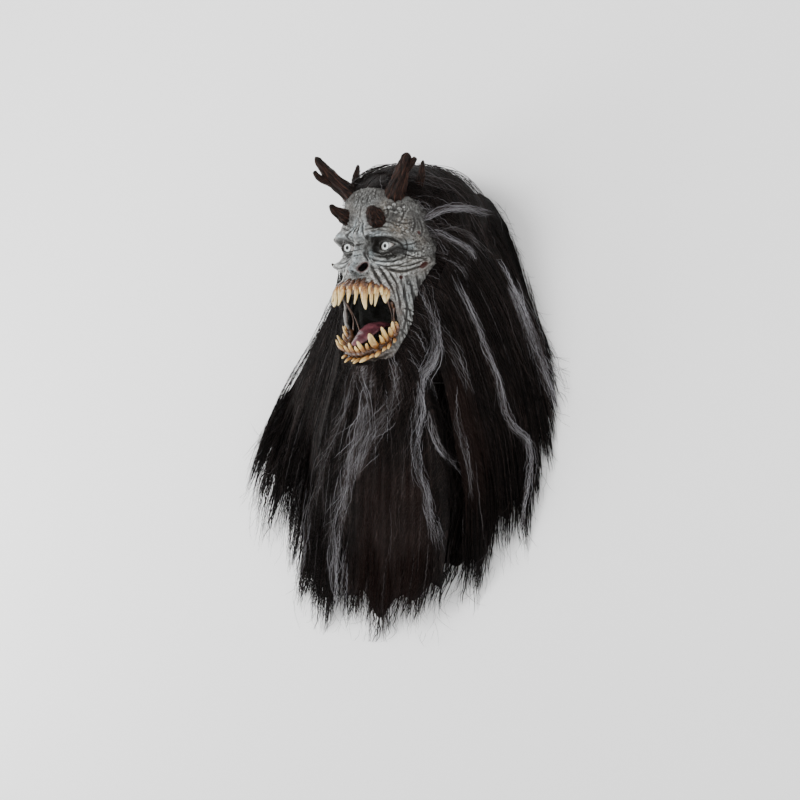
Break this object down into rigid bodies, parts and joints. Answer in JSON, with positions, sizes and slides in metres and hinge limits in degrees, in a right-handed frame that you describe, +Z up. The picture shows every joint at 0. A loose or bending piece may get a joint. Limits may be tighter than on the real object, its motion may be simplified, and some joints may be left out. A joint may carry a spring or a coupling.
{
  "type": "monster mask",
  "caption": "Over-the-head horned monster mask of painted latex with a gaping toothed mouth, set eyes and a long mane and beard, lying on its back.",
  "frame": {"origin": "on the surface that the mask lies on, under the middle of the head, at the flat underside of the mane", "axes": "+Z up, out of the face; +Y towards the crown; +X towards the mask's own left"},
  "size_m": [0.5848, 0.6897, 0.251],
  "materials": {
    "latex": "painted grey latex with dark washes, dry-brushed",
    "eye": "glossy pale iris with a black pinpoint pupil",
    "hair": "crimped black synthetic hair",
    "beard": "crimped black synthetic hair with grey streaks"
  },
  "bodies": {
    "root": {"latex_head": "latex", "eye_left": "eye", "eye_right": "eye", "mane": "hair", "side_hair_left": "hair", "side_hair_right": "hair", "beard": "beard"}
  },
  "joints": []
}
